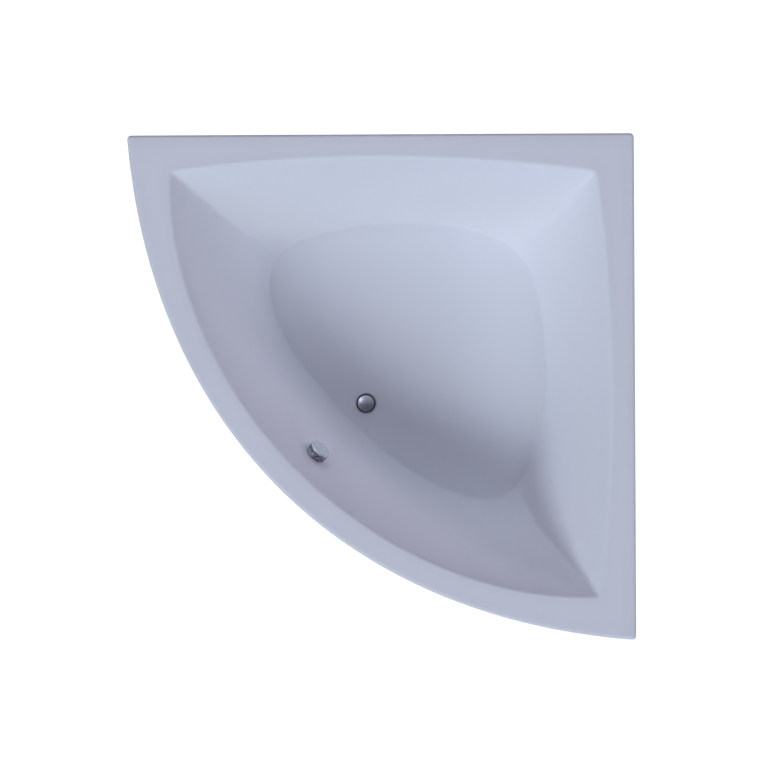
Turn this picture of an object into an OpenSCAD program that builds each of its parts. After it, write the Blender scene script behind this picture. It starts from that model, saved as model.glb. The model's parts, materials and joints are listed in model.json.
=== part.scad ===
/* [Bath] */
// Length of each straight side that stands against a wall
side_len = 1500; // [1400:10:1650]
// Height of the rim above the floor of the room
rim_height = 600; // [570:5:650]
// Thickness of the formed acrylic shell
shell_t = 5; // [4:0.5:6.5]
// Handle length of the bowed front edge, as a share of the side
front_handle_share = 0.58; // [0.54:0.002:0.6]
// Direction in which the front edge leaves each wall
front_angle = 94.4; // [90:0.1:97]

/* [Rim] */
// Height of the lip turned down round the rim
lip_drop = 30; // [20:1:36]
// Rounding of the rim's outer edge
edge_r = 12; // [8:0.5:13]
// Rounding where the rim rolls over into the basin
roll_r = 14.5; // [8:0.5:16]
// Length along each side that the rounding of a rim corner takes
corner_len = 13; // [12:0.5:16]

/* [Mouth] */
// Length along each side that the rounding of a mouth corner takes
mouth_corner_len = 9; // [7:0.5:12]
// Distance from each wall to the mouth's corner at the wall side
mouth_corner = 109.5; // [95:0.5:125]
// Width of the wall side rims at their middle
wall_rim_w = 61.5; // [55:1:75]
// Distance from the side's far end to the mouth's far corner
end_rim_w = 124; // [110:1:140]
// Distance from the wall to the mouth's far corner
end_rim_in = 106; // [90:1:112]
// Handle length of the mouth's front edge, as a share of its straight run
mouth_handle_share = 0.526; // [0.47:0.001:0.53]
// Direction in which the mouth's front edge leaves its far corner
mouth_angle = 87.9; // [86:0.1:92]

/* [Basin floor] */
// Plan distance from mouth corner to floor along each wall, wall corner end
back_run = 190.5; // [160:0.5:210]
// Plan distance along the wall from the mouth's far corner to the floor's tip
tip_run = 292; // [250:1:320]
// Plan distance from the wall side of the mouth's far corner to the floor's tip
tip_drop = 200; // [170:1:215]
// Handle of the floor outline at its rounded back, as a share of its side
floor_back_share = 0.258; // [0.2:0.002:0.28]
// Handle of the floor outline before each tip, as a share of its side
floor_tip_share = 0.232; // [0.18:0.002:0.26]
// Handle of the floor outline's front, as a share of its side
floor_front_share = 0.397; // [0.38:0.001:0.45]
// Fillet between walls and floor
floor_fillet = 14; // [10:1:30]

/* [Creases] */
// Each crease runs from a mouth corner towards a point at floor level, and fades
// Plan distance from mouth corner to this point along each wall, wall corner end
crease_back_run = 142; // [120:1:170]
// Plan distance along the wall from the mouth's far corner to its point
crease_tip_run = 146; // [120:1:240]
// Plan distance from the wall side of the mouth's far corner to its point
crease_tip_drop = 95; // [70:1:160]
// Direction of the front wall's foot line at its point
crease_angle = 87; // [80:0.5:95]
// Share of the basin's depth over which the creases fade into the floor's outline
crease_fade_share = 0.72; // [0.3:0.01:0.9]

/* [Board and battens] */
// Thickness of the board bonded under the basin floor
board_t = 18; // [15:1:20]
// Distance from the floor's outline in to the board's edge
board_in = 36; // [32:1:50]
// Radius of the board's cut-out round the waste
board_hole_r = 60; // [56:1:66]
// Half width of the board's slot towards the front
board_slot_half = 34; // [30:1:45]
// Thickness of the battens under the rim
batten_t = 18; // [15:1:20]
// Width of the battens under the rim
batten_w = 44; // [38:1:46]
// Distance from the rim's edge in to each batten
batten_in = 14; // [12:0.5:15]
// Share of the front edge left free of batten at each end
batten_end_share = 0.036; // [0.034:0.001:0.06]

/* [Frame] */
// Outer width of the square steel tube
tube_w = 30; // [25:1:32]
// Wall of the steel tube
tube_wall = 2; // [1.5:0.5:3]
// Distance of the posts' centres from the walls
post_in = 46; // [44:1:48]
// Distance of the far posts from the ends of the sides
post_end = 75; // [70:1:85]
// Distance of the front post's centre from the front edge
front_post_in = 40; // [38:1:44]
// Distance of each front arm from the middle line
arm_offset = 130; // [124:1:145]
// Half length of the bar across the front
front_bar_half = 150; // [148:1:165]
// Distance of the middle rails from the back of the basin floor
mid_rail_from_back = 190; // [150:1:230]
// Length of each middle rail
mid_rail_len = 290; // [220:1:300]

/* [Post brackets] */
// Thickness of the bracket's sheet
bracket_t = 2.5; // [2:0.5:4]
// Width of each bracket
bracket_w = 24; // [20:1:28]
// Height of the leg on the post
bracket_leg = 42; // [34:1:60]
// Length of the leg under the batten
bracket_arm = 28; // [24:1:29]
// Radius of the screws in frame and brackets
screw_r = 2.4; // [2:0.1:3]
// Radius of the screw heads
screw_head_r = 4.6; // [4:0.1:6]
// Height of the screw heads
screw_head_h = 2.6; // [2:0.1:4]
// Length of the screw shanks
screw_len = 14; // [10:1:16]

/* [Feet] */
// Radius of the threaded foot studs
stud_r = 6; // [5:0.5:7]
// Length of stud that stands above the frame at rest
stud_spare = 46; // [40:1:70]
// Radius of the foot pads
pad_r = 26; // [22:1:32]
// Height of the foot pads' plate
pad_h = 9; // [7:1:12]
// Radius of the socket on each pad
socket_r = 12; // [10:0.5:14]
// Height of the socket on each pad
socket_h = 14; // [10:1:18]
// Thickness of the pad left under the stud
pad_floor = 4; // [3:0.5:6]
// Width across the flats of the foot nuts
nut_flats = 19; // [17:1:24]
// Height of the foot nuts
nut_h = 10; // [8:0.5:12]
// Distance of the back foot from the corner post
back_foot_gap = 92; // [70:1:140]
// Distance of the side feet from the far posts
side_foot_gap = 72; // [50:1:120]
// Distance of the front feet from the front bar
front_foot_gap = 46; // [40:1:80]

/* [Front panel] */
// Thickness of the panel
panel_t = 4; // [3:0.5:5]
// Distance of the panel's face in from the rim's edge
panel_in = 6.5; // [6:0.5:8]
// Gap between panel and room floor
panel_foot_gap = 12; // [8:1:25]
// Gap between the panel's top edge and the rim
panel_top_gap = 4; // [4:0.5:6]
// Width of the flange along the panel's foot
panel_flange = 22; // [14:1:26]
// Share of the front edge left free of panel at each end
panel_end_share = 0.005; // [0.004:0.001:0.01]
// Height of the step pressed into the panel above its foot
plinth_h = 80; // [50:5:120]
// Depth of that step
plinth_step = 3; // [1:0.5:4]
// Width of each panel clip
clip_w = 30; // [20:1:40]
// Height of each panel clip
clip_h = 16; // [12:1:18]
// Distance of the foot brackets from the middle line
foot_bracket_offset = 95; // [80:1:110]
// Height of the foot brackets' legs
foot_bracket_h = 24; // [18:1:28]
// Length of the slot in each foot bracket's arm
foot_slot_len = 12; // [8:1:14]

/* [Waste] */
// Distance of the waste from the front of the basin floor
waste_setback = 81; // [76:1:100]
// Radius of the hole in the basin floor
waste_hole_r = 26; // [25.5:0.1:27]
// Outer radius of the chrome flange
flange_r = 37; // [35.5:0.5:38.5]
// Height of the flange above its seal
flange_h = 3.4; // [2.8:0.1:4.5]
// Radius where the flange's raised lip ends
flange_lip_r = 32; // [31:0.2:33]
// Thickness of metal under the flange's groove
flange_base_t = 0.9; // [0.7:0.1:1.2]
// Thickness of the seal under the flange
flange_seal_t = 1.5; // [1:0.1:2]
// Outer radius of the flange's neck
neck_r = 24.5; // [24:0.1:25]
// Wall of the flange's neck
neck_wall = 2.6; // [2:0.1:3.2]
// Distance from the basin floor to the foot of the neck
neck_drop = 30; // [28:0.5:33]
// Height of the guide in the neck
guide_h = 9; // [7:0.5:12]
// Radius of the guide's hub
guide_hub_r = 7.5; // [6.5:0.5:9]
// Thickness of the guide's ribs
guide_rib_t = 2.4; // [2:0.1:3.5]
// Thickness of the rubber washer under the basin floor
washer_t = 5; // [4:0.5:6]
// Outer radius of the body's top ring
body_ring_r = 38; // [36:0.5:40]
// Height of the body's top ring
body_ring_h = 5; // [4:0.5:7]
// Outer radius of the waste body
body_r = 30; // [29:0.5:31]
// Wall of the waste body
body_wall = 3; // [2.5:0.1:3.6]
// Length of the waste body under its ring
body_h = 50; // [50:0.5:52]
// Outer radius of the body's threaded outlet
outlet_r = 20; // [19:0.5:21]
// Length of the body's threaded outlet
outlet_len = 18; // [16:0.5:20]
// Outer radius of the body's hose port
port_r = 14.5; // [14:0.1:15]
// Wall of the hose ports
port_wall = 2.6; // [2:0.1:3]
// Reach of the body's hose port from the waste's middle
port_reach = 56; // [52:1:62]

/* [Plug] */
// Radius of the plug's domed cap
plug_r = 27; // [26:0.2:27.6]
// Thickness of the cap at its edge
plug_edge_t = 2.2; // [1.8:0.1:3]
// Rise of the cap's dome above its edge
plug_dome = 4.4; // [3:0.1:6]
// Radius of the plug's stem
stem_r = 4; // [3.5:0.1:4.5]
// Thickness of the rubber seal under the cap
plug_seal_t = 1.6; // [1.2:0.1:2]
// Travel of the plug between shut and open
plug_lift = 10; // [8:0.5:11]

/* [Lift lever] */
// Distance from the plug's stem to the lever's pivot
lever_arm = 60; // [56:1:66]
// Height of the lever arm that the cable pulls
cable_arm = 12; // [10:0.5:13]
// Width of the lever
lever_w = 6; // [5:0.5:7]
// Thickness of the lever
lever_t = 5; // [4:0.5:5.5]
// Radius of the lever's rounded tip
tip_r = 3; // [2.5:0.1:3.2]
// Radius of the lever's pivot pin
pin_r = 2.5; // [2:0.1:3]
// Wall of the lever's housing
housing_wall = 3; // [2.5:0.1:3.5]

/* [Trap] */
// Outer radius of the trap's pipe
trap_r = 20; // [19:0.5:20.5]
// Wall of the trap's pipe
trap_wall = 2.4; // [2:0.1:3]
// Bend radius of the trap's return bend
bend_r = 31; // [30:0.5:32]
// Distance of the return bend above the floor of the room
trap_clear = 4; // [3:0.5:8]
// Height of the trap's inlet above the middle of its return bend
trap_rise = 42; // [40:1:60]
// Outer radius of the trap's ring nuts
trap_nut_r = 27; // [26:0.5:30]
// Height of the trap's ring nuts
trap_nut_h = 17; // [14:0.5:18]
// Width of the grip ribs on all ring nuts
grip_t = 2; // [1.5:0.1:2.5]
// Length of the trap's outlet socket
socket_len = 32; // [26:1:44]
// Outer radius of the house pipe that the outlet takes
house_pipe_r = 20; // [19.5:0.5:20]

/* [Overflow] */
// Distance from the rim down to the middle of the overflow
overflow_drop = 125; // [110:1:140]
// Radius of the overflow's hole
overflow_hole_r = 26; // [25:0.5:27]
// Outer radius of the overflow's face plate
plate_r = 30; // [29:0.5:31]
// Thickness of the face plate
plate_t = 3.2; // [2.5:0.1:4]
// Thickness of the rubber ring behind the wall
overflow_seal_t = 4; // [3:0.5:5]
// Distance of the rubber ring's edges in from the flange's and the hole's
overflow_seal_in = 1; // [0.5:0.1:2]
// Outer radius of the overflow body's flange
overflow_flange_r = 35; // [34:0.5:37]
// Thickness of the overflow body's flange
overflow_flange_t = 4; // [3:0.5:5]
// Length of the overflow body behind its flange
overflow_cup_len = 30; // [28:0.5:34]
// Reach of the overflow's hose port from its middle
overflow_port_reach = 52; // [48:1:56]
// Distance of the plate's screws from the middle
plate_screw_at = 19; // [18:0.5:20]
// Width of the water slots in the face plate
slot_w = 5; // [4:0.5:6]
// Length of the water slots in the face plate
slot_len = 20; // [16:0.5:22]
// Distance of the cable's entry from the overflow's middle
cable_offset = 23.5; // [22:0.5:24]

/* [Knob] */
// Radius of the round knob
knob_r = 32.5; // [31:0.5:34]
// Length of the knob
knob_len = 23.5; // [20:0.5:28]
// Gap between the knob and the wall of the basin
knob_gap = 4.6; // [4.2:0.1:6]
// Wall of the knob's shell
knob_wall = 3; // [2:0.1:4]
// Bevel round the knob's face
knob_bevel = 1.1; // [0.6:0.1:2]
// Radius of the knob's shaft
shaft_r = 5; // [4:0.5:6]
// Radius of the cam on the shaft
cam_r = 10.5; // [9:0.5:12]
// Thickness of the cam
cam_t = 8; // [6:0.5:9]

/* [Hose and cable] */
// Outer radius of the hose's ribs
rib_r = 15; // [14:0.1:15.2]
// Radius at the roots of the ribs
rib_root_r = 13.2; // [12.8:0.1:13.6]
// Radius of the hose's bore
hose_bore_r = 11.6; // [11:0.1:12]
// Number of ribs on the hose
rib_count = 76; // [40:1:90]
// Outer radius of the hose's ring nuts
hose_nut_r = 20; // [19:0.5:21]
// Length of the hose's ring nuts
hose_nut_len = 20; // [16:1:22]
// Radius of the cable's sheath
cable_r = 2.5; // [2:0.1:3]
// Length of the ferrules that hold the cable's ends
ferrule_len = 7.5; // [6:0.5:9]

/* [Hidden] */

// Steps round each wall side, the front, the fillets and the rolled edges
side_steps = 24;
front_steps = 36;
fillet_steps = 4;
roll_steps = 3;
edge_steps = 4;
// Heights of the rows on the walls, as shares of the way from floor to mouth
wall_shares = [0.08, 0.17, 0.27, 0.38, 0.5, 0.63, 0.8];
// A corner's middle point lies this far from the sharp corner to the chord
round_share = 0.586;
// Handles of the mouth's wall sides, as a share of their straight run
mouth_side_share = 0.325;

// Running gap of shafts, gap between free pieces, gap of seats, and cut overrun
run_gap = 0.06;
free_gap = 0.3;
seat_gap = 0.1;
over = 1;
round_fn = 64;
small_fn = 40;
grip_count = 16;
// The shell's facets meet behind the waste, at this share of its distance
fan_share = 0.8;
// Places of the panel clips along the front edge
clip_shares = [0.1, 0.3, 0.5, 0.7, 0.9];
// Handles of the hose and the cable, as shares of the sizes that they follow
hose_handle_share = 0.4;
hose_foot_share = 0.75;
cable_turn_share = 0.5;
cable_knee_share = 2;
cable_lead_share = 1.2;
cable_rise_share = 1.6;
// Sides of hose and cable, steps along them, and bare steps at the hose's ends
tube_n = 8;
bore_steps = 24;
cable_steps = 14;
hose_ends = 2;

// Heights, built up from the trap: the basin is as deep as it leaves room for
trap_bend_z = trap_r + bend_r + trap_clear;
trap_top = trap_bend_z + trap_rise;
body_foot = trap_top + outlet_len;
body_top = body_foot + body_h + body_ring_h;
under_z = body_top + washer_t;
floor_z = under_z + shell_t;
basin_depth = rim_height - floor_z;
board_z = under_z - board_t;
rail_z = board_z - tube_w;
batten_z = rim_height - shell_t - batten_t;

function flip(p) = [p[1], p[0]];
function flip_path(c) = [flip(c[3]), flip(c[2]), flip(c[1]), flip(c[0])];
function ray(r, a) = [r * cos(a), r * sin(a)];
function unit(v) = v / norm(v);
function mix(a, b, t) = a + (b - a) * t;
function left_of(e) = [-e[1], e[0]];
function xy(p) = [half - p[0], half - p[1]];
function cubic(c, t) =
    pow(1 - t, 3) * c[0] + 3 * pow(1 - t, 2) * t * c[1]
    + 3 * (1 - t) * t * t * c[2] + t * t * t * c[3];
function slope(c, t) =
    pow(1 - t, 2) * (c[1] - c[0]) + 2 * (1 - t) * t * (c[2] - c[1])
    + t * t * (c[3] - c[2]);

// Plan curves. Each is measured from the wall corner, along both walls.
// The outline, the mouth and the floor each have two wall sides and a front.
outer_side = [[0, 0], [side_len / 3, 0], [side_len * 2 / 3, 0], [side_len, 0]];
outer_handle = ray(side_len * front_handle_share, front_angle);
outer_tip = [side_len, 0];
outer_front = [outer_tip, outer_tip + outer_handle,
    flip(outer_tip + outer_handle), flip(outer_tip)];

mouth_tip = [side_len - end_rim_w, end_rim_in];
mouth_run = mouth_tip[0] - mouth_corner;
mouth_dip = (8 * wall_rim_w - mouth_corner - end_rim_in) / 6;
mouth_side = [[mouth_corner, mouth_corner],
    [mouth_corner + mouth_run * mouth_side_share, mouth_dip],
    [mouth_tip[0] - mouth_run * mouth_side_share, mouth_dip],
    mouth_tip];
mouth_handle = ray((mouth_tip[0] - mouth_tip[1]) * mouth_handle_share, mouth_angle);
mouth_front = [mouth_tip, mouth_tip + mouth_handle,
    flip(mouth_tip + mouth_handle), flip(mouth_tip)];

floor_back = [mouth_corner + back_run, mouth_corner + back_run];
floor_tip = mouth_tip + [-tip_run, tip_drop];
floor_len = floor_tip[0] - floor_back[0];
floor_side = [floor_back, floor_back + ray(floor_len * floor_back_share, -45),
    floor_tip - ray(floor_len * floor_tip_share, 45), floor_tip];
floor_handle = ray(floor_len * floor_front_share, 45);
floor_front = [floor_tip, floor_tip + floor_handle,
    flip(floor_tip + floor_handle), flip(floor_tip)];

// The outline that the walls would have at floor level if no crease faded. It
// touches the floor's outline in the middle of each side.
crease_back = [mouth_corner + crease_back_run, mouth_corner + crease_back_run];
crease_tip = mouth_tip + [-crease_tip_run, crease_tip_drop];
crease_dip = (8 * cubic(floor_side, 0.5)[1] - crease_back[1] - crease_tip[1]) / 6;
crease_third = (crease_tip[0] - crease_back[0]) / 3;
crease_side = [crease_back, [crease_back[0] + crease_third, crease_dip],
    [crease_tip[0] - crease_third, crease_dip], crease_tip];
crease_p = (crease_tip[0] + crease_tip[1]) / sqrt(2);
crease_handle = ray(4 / 3 * (mid_p(floor_front) - crease_p) / cos(crease_angle - 45),
    crease_angle);
crease_front = [crease_tip, crease_tip + crease_handle,
    flip(crease_tip + crease_handle), flip(crease_tip)];

// Stations round a closed plan curve, with a close pair beside each corner
function shares(n, c) = concat([0, c], [for (i = [1:n - 1]) i / n], [1 - c]);
function near_share(c, len) = len / (3 * norm(c[1] - c[0]));
function around(side, front, c, f) = let (on_side = shares(side_steps, c)) concat(
    [for (t = on_side) cubic(side, t)],
    [for (t = shares(front_steps, f)) cubic(front, t)],
    [for (t = on_side) cubic(flip_path(side), t)]);
side_n = len(shares(side_steps, 0));
front_n = len(shares(front_steps, 0));
ring_n = 2 * side_n + front_n;
corners = [0, side_n, side_n + front_n];
function is_corner(i) = len(search(i, corners)) > 0;
function eased(pts) = [for (i = [0:ring_n - 1]) is_corner(i)
    ? mix(pts[i], (pts[(i + ring_n - 1) % ring_n] + pts[(i + 1) % ring_n]) / 2,
        round_share)
    : pts[i]];

// A closed outline moved inwards by d, mitred at each point
function inset(pts, d) = let (n = len(pts)) [for (i = [0:n - 1])
    let (e1 = unit(pts[i] - pts[(i + n - 1) % n]),
        e2 = unit(pts[(i + 1) % n] - pts[i]),
        k = unit(left_of(e1) + left_of(e2)))
    pts[i] + k * d / (k * left_of(e1))];
// A point beside an open curve, and a strip between two distances from it
function beside(c, t, d) = cubic(c, t) + d * left_of(unit(slope(c, t)));
function strip(c, t0, t1, n, d0, d1) = concat(
    [for (i = [0:n]) beside(c, mix(t0, t1, i / n), d0)],
    [for (i = [n:-1:0]) beside(c, mix(t0, t1, i / n), d1)]);
module plan(outline) polygon([for (p = outline) xy(p)]);

outer_ring = eased(around(outer_side, outer_front,
    near_share(outer_side, corner_len), near_share(outer_front, corner_len)));
// Half of the overall plan size: the origin is under the middle of it
half = max([for (p = outer_ring) p[0]]) / 2;
on_mouth = near_share(mouth_side, mouth_corner_len);
on_front = near_share(mouth_front, mouth_corner_len);
mouth_ring = eased(around(mouth_side, mouth_front, on_mouth, on_front));
floor_ring = around(floor_side, floor_front, on_mouth, on_front);
crease_ring = around(crease_side, crease_front, on_mouth, on_front);

// Distances along the middle line, from the wall corner towards the front
function mid_p(c) = norm(cubic(c, 0.5));
front_p = mid_p(outer_front);
mouth_p = mid_p(mouth_front);
floor_front_p = mid_p(floor_front);
floor_back_p = norm(floor_back);
waste_p = floor_front_p - waste_setback;

// Slope of the wall in the plane through a mouth point and its floor point
function wall_angle(w) = atan2(basin_depth,
    w - roll_r * tan(atan2(basin_depth, w) / 2));
front_slope = wall_angle(mouth_p - floor_front_p);
overflow_z = rim_height - overflow_drop;
overflow_p = floor_front_p + (overflow_z - floor_z) / tan(front_slope);

// Rows of the shell at one station: rolled edge and fillet, at radius r
function roll_pt(i, s, r) = let (a = mouth_ring[i], b = floor_ring[i],
    f = wall_angle(norm(b - a)) * s, h = xy(a + unit(b - a) * r * sin(f)))
    [h[0], h[1], rim_height - roll_r + r * cos(f)];
function fillet_pt(i, s, r) = let (a = mouth_ring[i], b = floor_ring[i],
    w = norm(b - a), g = wall_angle(w), f = g * s,
    h = xy(a + unit(b - a) * (w + floor_fillet * tan(g / 2) - r * sin(f))))
    [h[0], h[1], floor_z + floor_fillet - r * cos(f)];
function faded(u) = u < 1 ? u * u * (3 - 2 * u) : 1;
function wall_row(s, t) = [for (i = [0:ring_n - 1])
    let (h = (crease_ring[i] - floor_ring[i]) * faded(s / crease_fade_share) * (1 - s))
    mix(fillet_pt(i, 1, floor_fillet + t), roll_pt(i, 1, roll_r - t), s)
        - [h[0], h[1], 0]];
function flat_row(pts, z) = [for (p = pts) [xy(p)[0], xy(p)[1], z]];
shell_rows = concat(
    [for (k = [0:fillet_steps]) [for (i = [0:ring_n - 1])
        fillet_pt(i, k / fillet_steps, floor_fillet)]],
    [for (s = wall_shares) wall_row(s, 0)],
    [for (k = [roll_steps:-1:0]) [for (i = [0:ring_n - 1])
        roll_pt(i, k / roll_steps, roll_r)]],
    [for (k = [0:edge_steps]) let (f = 90 * k / edge_steps)
        flat_row(inset(outer_ring, edge_r * (1 - sin(f))),
            rim_height - edge_r * (1 - cos(f)))],
    [flat_row(outer_ring, rim_height - lip_drop),
        flat_row(inset(outer_ring, shell_t), rim_height - lip_drop)],
    [for (k = [edge_steps:-1:0]) let (f = 90 * k / edge_steps, r = edge_r - shell_t)
        flat_row(inset(outer_ring, edge_r - r * sin(f)), rim_height - edge_r + r * cos(f))],
    [for (k = [0:roll_steps]) [for (i = [0:ring_n - 1])
        roll_pt(i, k / roll_steps, roll_r - shell_t)]],
    [for (k = [len(wall_shares) - 1:-1:0]) wall_row(wall_shares[k], shell_t)],
    [for (k = [fillet_steps:-1:0]) [for (i = [0:ring_n - 1])
        fillet_pt(i, k / fillet_steps, floor_fillet + shell_t)]]);

// Faces of a stack of rings closed by a point at each end
function stack_faces(rows, n) = let (last = rows * n + 1) concat(
    [for (i = [0:n - 1]) [0, 1 + (i + 1) % n, 1 + i]],
    [for (r = [0:rows - 2], i = [0:n - 1], k = [0, 1])
        let (a = 1 + r * n + i, b = 1 + r * n + (i + 1) % n)
        k == 0 ? [a, b, b + n] : [a, b + n, a + n]],
    [for (i = [0:n - 1]) [last - n + i, last - n + (i + 1) % n, last]]);

// Places in the diagonal frame: p from the wall corner, s to its right
module on_diagonal(p = 0, s = 0, z = 0)
    translate([half, half, z]) rotate([0, 0, 225]) translate([p, s, 0]) children();
module at_waste(z = 0) on_diagonal(waste_p, 0, z) children();
// The overflow's frame: z out of the wall into the basin, x up the wall
module at_overflow(z = 0)
    on_diagonal(overflow_p, 0, overflow_z) rotate([0, -front_slope, 0])
        translate([0, 0, z]) children();
module bore(r, h, fn = small_fn) translate([0, 0, -over]) cylinder(r = r, h = h + 2 * over, $fn = fn);
module ring(ro, ri, h, fn = round_fn)
    difference() {
        cylinder(r = ro, h = h, $fn = fn);
        bore(ri, h, fn);
    }
module box_tube(len)
    difference() {
        translate([0, -tube_w / 2, 0]) cube([len, tube_w, tube_w]);
        translate([-over, -tube_w / 2 + tube_wall, tube_wall])
            cube([len + 2 * over, tube_w - 2 * tube_wall, tube_w - 2 * tube_wall]);
    }
// A round headed screw whose head sits under z = 0
module screw()
    union() {
        cylinder(r = screw_r, h = screw_len, $fn = small_fn);
        translate([0, 0, -screw_head_h]) cylinder(r = screw_head_r, h = screw_head_h, $fn = small_fn);
    }

// Shell and the timber bonded to it

module tub_shell() {
    centre = xy([waste_p, waste_p] / sqrt(2) * fan_share);
    color([0.93, 0.94, 0.97])
    difference() {
        polyhedron(
            points = concat([[centre[0], centre[1], floor_z]],
                [for (row = shell_rows) each row],
                [[centre[0], centre[1], under_z]]),
            faces = stack_faces(len(shell_rows), ring_n));
        at_waste(under_z) bore(waste_hole_r, shell_t, round_fn);
        at_overflow(-2 * shell_t) bore(overflow_hole_r, 3 * shell_t, round_fn);
    }
}

module base_board() {
    color([0.76, 0.62, 0.42])
    difference() {
        translate([0, 0, board_z]) linear_extrude(board_t)
            plan(inset(floor_ring, board_in));
        at_waste(board_z) bore(board_hole_r, board_t, round_fn);
        at_waste(board_z - over) translate([0, -board_slot_half, 0])
            cube([waste_setback, 2 * board_slot_half, board_t + 2 * over]);
    }
}

// A straight batten along one wall, from a to b
function batten_box(a, b) = [[a, batten_in], [b, batten_in],
    [b, batten_in + batten_w], [a, batten_in + batten_w]];
module batten(outline)
    color([0.78, 0.64, 0.44]) difference() {
        translate([0, 0, batten_z]) linear_extrude(batten_t) plan(outline);
        for (b = bracket_seats) at_bracket(b) translate([bracket_arm * 2 / 3, 0, 0])
            cylinder(r = screw_r + run_gap, h = screw_len, $fn = small_fn);
    }
batten_end = side_len - batten_in - batten_w / 2;

module rear_batten() batten(batten_box(batten_in, batten_end));

module side_batten() batten([for (p = batten_box(batten_in + batten_w + free_gap, batten_end)) flip(p)]);

module front_batten() batten(strip(outer_front, batten_end_share, 1 - batten_end_share,
    front_steps, batten_in, batten_in + batten_w));

// Steel frame

post_p = post_in * sqrt(2);
far_post = [side_len - post_end, post_in];
cross_p = (far_post[0] + far_post[1]) / sqrt(2);
far_post_s = (far_post[0] - far_post[1]) / sqrt(2);
front_post_p = front_p - front_post_in;
back_foot_p = post_p + back_foot_gap;
side_foot_s = far_post_s - side_foot_gap;
front_foot_p = front_post_p - tube_w / 2 - front_foot_gap;
feet = [[back_foot_p, 0], [cross_p, -side_foot_s], [cross_p, side_foot_s],
    [front_foot_p, -arm_offset], [front_foot_p, arm_offset]];
steel = [0.35, 0.36, 0.38];

module stud_hole() translate([0, 0, rail_z]) bore(stud_r + run_gap, tube_w);

module spine_rail()
    color(steel) difference() {
        on_diagonal(post_p + tube_w / 2, 0, rail_z) box_tube(cross_p - post_p - tube_w);
        on_diagonal(feet[0][0], feet[0][1]) stud_hole();
    }

module cross_rail()
    color(steel) difference() {
        on_diagonal(cross_p, -far_post_s + tube_w / 2, rail_z) rotate([0, 0, 90])
            box_tube(2 * far_post_s - tube_w);
        for (k = [1, 2]) on_diagonal(feet[k][0], feet[k][1]) stud_hole();
    }

module mid_rail(side)
    color(steel) on_diagonal(floor_back_p + mid_rail_from_back, side * tube_w / 2, rail_z)
        rotate([0, 0, side * 90]) box_tube(mid_rail_len);
module left_mid_rail() mid_rail(-1);
module right_mid_rail() mid_rail(1);

module front_arm(k)
    color(steel) difference() {
        on_diagonal(cross_p + tube_w / 2, feet[k][1], rail_z)
            box_tube(front_post_p - cross_p - tube_w);
        on_diagonal(feet[k][0], feet[k][1]) stud_hole();
    }
module left_front_arm() front_arm(3);
module right_front_arm() front_arm(4);

module front_bar()
    color(steel) on_diagonal(front_post_p, -front_bar_half, rail_z) rotate([0, 0, 90])
        box_tube(2 * front_bar_half);

// A square post with open ends, standing from z to the battens at seat b
bracket_seats = [[post_p, 0, 90], [cross_p, -far_post_s, 180],
    [cross_p, far_post_s, 180], [front_post_p, 0, 90]];
module post(b, z)
    color(steel) difference() {
        on_diagonal(b[0], b[1], z) translate([-tube_w / 2, -tube_w / 2, 0])
            cube([tube_w, tube_w, batten_z - z]);
        on_diagonal(b[0], b[1], z) translate([-tube_w / 2 + tube_wall, -tube_w / 2 + tube_wall, -over])
            cube([tube_w - 2 * tube_wall, tube_w - 2 * tube_wall, batten_z - z + 2 * over]);
        at_bracket(b) translate([-2 * tube_wall, 0, -bracket_leg * 2 / 3]) rotate([0, 90, 0])
            cylinder(r = screw_r + run_gap, h = 3 * tube_wall, $fn = small_fn);
    }
module corner_post() post(bracket_seats[0], rail_z);
module left_post() post(bracket_seats[1], rail_z);
module right_post() post(bracket_seats[2], rail_z);
module front_post() post(bracket_seats[3], rail_z + tube_w);

// Angle brackets that tie the posts to the battens, one on each post
module at_bracket(b) on_diagonal(b[0], b[1], batten_z) rotate([0, 0, b[2]])
    translate([tube_w / 2, 0, 0]) children();

module post_brackets()
    color([0.7, 0.71, 0.73]) for (b = bracket_seats) at_bracket(b) difference() {
        union() {
            translate([0, -bracket_w / 2, -bracket_leg]) cube([bracket_t, bracket_w, bracket_leg]);
            translate([0, -bracket_w / 2, -bracket_t]) cube([bracket_arm, bracket_w, bracket_t]);
        }
        translate([bracket_arm * 2 / 3, 0, -bracket_t]) bore(screw_r + run_gap, bracket_t);
        translate([0, 0, -bracket_leg * 2 / 3]) rotate([0, 90, 0]) bore(screw_r + run_gap, bracket_t);
    }

module bracket_screws()
    color([0.75, 0.76, 0.78]) for (b = bracket_seats) at_bracket(b) {
        translate([bracket_arm * 2 / 3, 0, -bracket_t]) screw();
        translate([bracket_t, 0, -bracket_leg * 2 / 3]) rotate([0, -90, 0]) screw();
    }

// Levelling feet

stud_top = rail_z + tube_w + stud_spare;
module foot_stud(k)
    color([0.78, 0.79, 0.81]) on_diagonal(feet[k][0], feet[k][1], pad_floor) union() {
        cylinder(r = stud_r, h = stud_top - pad_floor, $fn = small_fn);
        translate([0, 0, pad_h + socket_h - pad_floor])
            cylinder(d = nut_flats / cos(30), h = nut_h / 2, $fn = 6);
    }
module foot_stud_1() foot_stud(0);
module foot_stud_2() foot_stud(1);
module foot_stud_3() foot_stud(2);
module foot_stud_4() foot_stud(3);
module foot_stud_5() foot_stud(4);

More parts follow.
